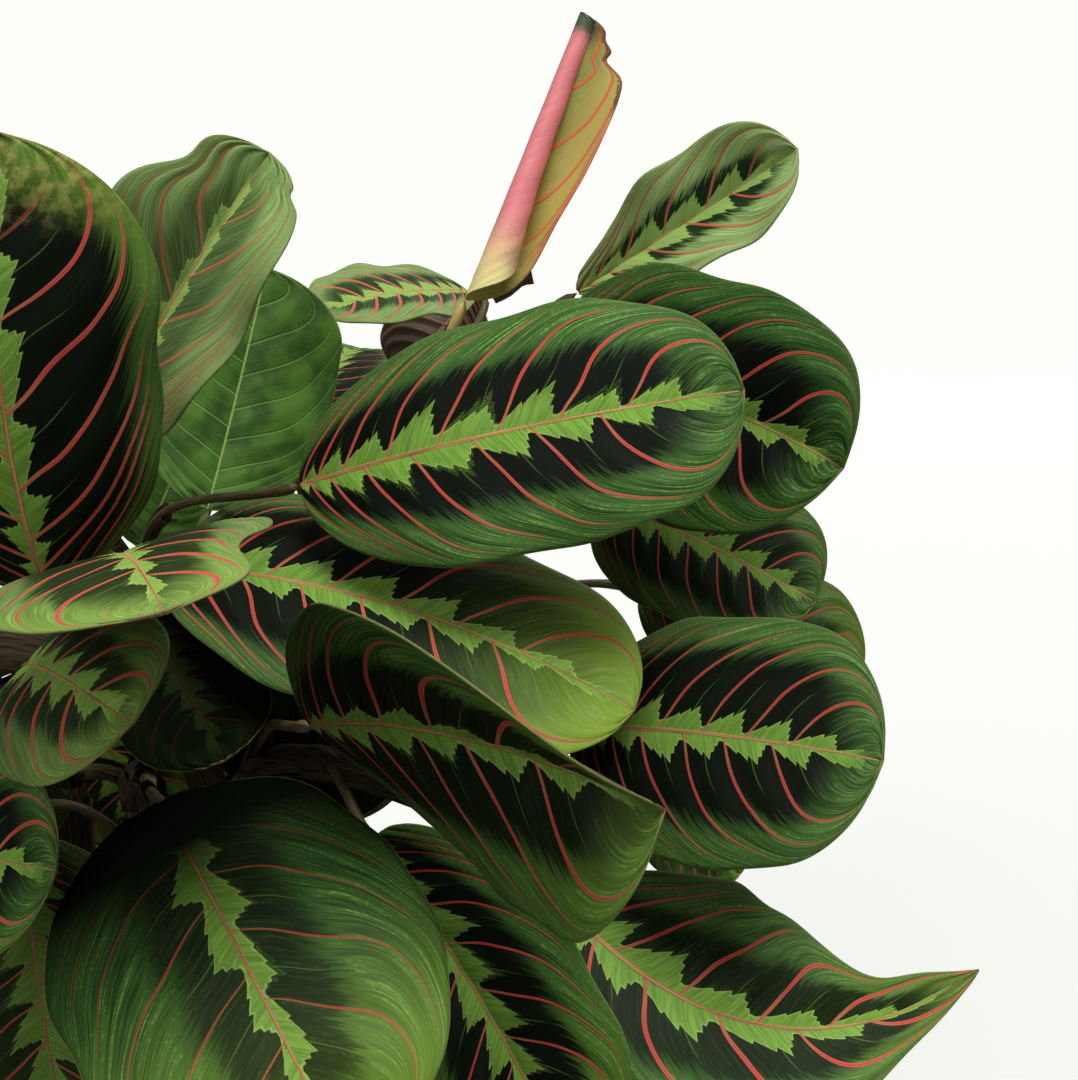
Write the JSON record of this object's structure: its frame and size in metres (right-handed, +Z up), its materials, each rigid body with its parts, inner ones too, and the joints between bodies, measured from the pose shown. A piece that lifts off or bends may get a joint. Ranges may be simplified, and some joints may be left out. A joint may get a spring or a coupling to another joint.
{
  "type": "potted plant",
  "caption": "Red-veined prayer plant with broad patterned leaves on thin stalks, growing in a plain round clay pot.",
  "frame": {"origin": "middle of the pot's flat underside, on the surface that the pot stands on", "axes": "+Z up along the pot's axis; +X to the right and +Y away from someone who looks at the plant from the pictured side"},
  "size_m": [0.4255, 0.3772, 0.3583],
  "materials": {
    "clay": "matt fired clay, slightly dusty",
    "soil": "rough, crumbly and damp",
    "stalk": "satin plant stem, green to red-brown",
    "blade": "satin leaf, dark green with red veins above and maroon below",
    "plain_blade": "satin leaf, mid green with pale veins",
    "new_blade": "satin young leaf, pink outside and olive inside"
  },
  "bodies": {
    "root": {"pot": "clay", "soil": "soil", "shoot_front": "stalk", "shoot_trailing": "stalk", "shoot_low_right": "stalk", "shoot_right": "stalk", "shoot_tall_right": "stalk", "shoot_centre": "stalk", "shoot_left_front": "stalk", "shoot_left": "stalk", "shoot_back": "stalk", "shoot_back_right": "stalk", "leaf_left_big": "blade", "leaf_upper_left": "blade", "leaf_plain": "plain_blade", "leaf_sideways": "blade", "leaf_underside": "blade", "leaf_rolled_new": "new_blade", "leaf_top_right": "blade", "leaf_right_dark": "blade", "leaf_centre_large": "blade", "leaf_right_upper": "blade", "leaf_right_far": "blade", "leaf_right_round": "blade", "leaf_front_dark": "blade", "leaf_middle": "blade", "leaf_facing": "blade", "leaf_facing_low": "blade", "leaf_left_low": "blade", "leaf_hanging": "blade", "leaf_lower_middle": "blade", "leaf_lower_behind": "blade", "leaf_lower_right": "blade", "leaf_right_scrap": "blade", "leaf_in_shade": "blade", "leaf_shade_middle": "blade", "leaf_shade_left": "blade", "leaf_low_left": "blade", "leaf_inner_left": "blade", "leaf_inner_right": "blade", "leaf_small_plain": "plain_blade", "leaf_left_low_1": "blade", "leaf_left_low_2": "blade", "leaf_left_low_3": "blade", "leaf_left_low_4": "blade", "leaf_back_low_1": "blade", "leaf_back_low_2": "blade", "leaf_back_low_3": "blade", "leaf_back_low_4": "blade", "leaf_left_mid_1": "blade", "leaf_left_mid_2": "blade", "leaf_left_mid_3": "blade", "leaf_back_mid_1": "blade", "leaf_back_mid_2": "blade", "leaf_back_mid_3": "blade", "leaf_left_high": "blade", "leaf_left_tall": "blade", "leaf_back_tall": "blade", "leaf_back_high": "blade"}
  },
  "joints": []
}
